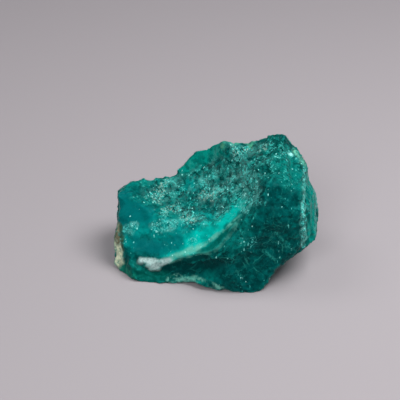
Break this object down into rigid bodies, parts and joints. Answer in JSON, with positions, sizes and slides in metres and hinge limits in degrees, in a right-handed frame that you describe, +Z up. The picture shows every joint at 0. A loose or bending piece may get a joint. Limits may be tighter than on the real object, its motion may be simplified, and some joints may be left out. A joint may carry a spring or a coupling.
{
  "type": "rough hauyne mineral specimen",
  "caption": "Rough lump of translucent blue-green hauyne, broken on every side, with a shell-shaped hollow in front. It lies on its flattest break.",
  "frame": {"origin": "under the middle of the lump's box, on the surface that it lies on", "axes": "+X along its length towards the tall end, +Y from the front to the back, +Z up"},
  "size_m": [0.0402, 0.0274, 0.0246],
  "materials": {
    "hauyne": "translucent, glassy on the clean breaks and sugary where it is granular"
  },
  "bodies": {
    "root": {"hauyne": "hauyne"}
  },
  "joints": []
}
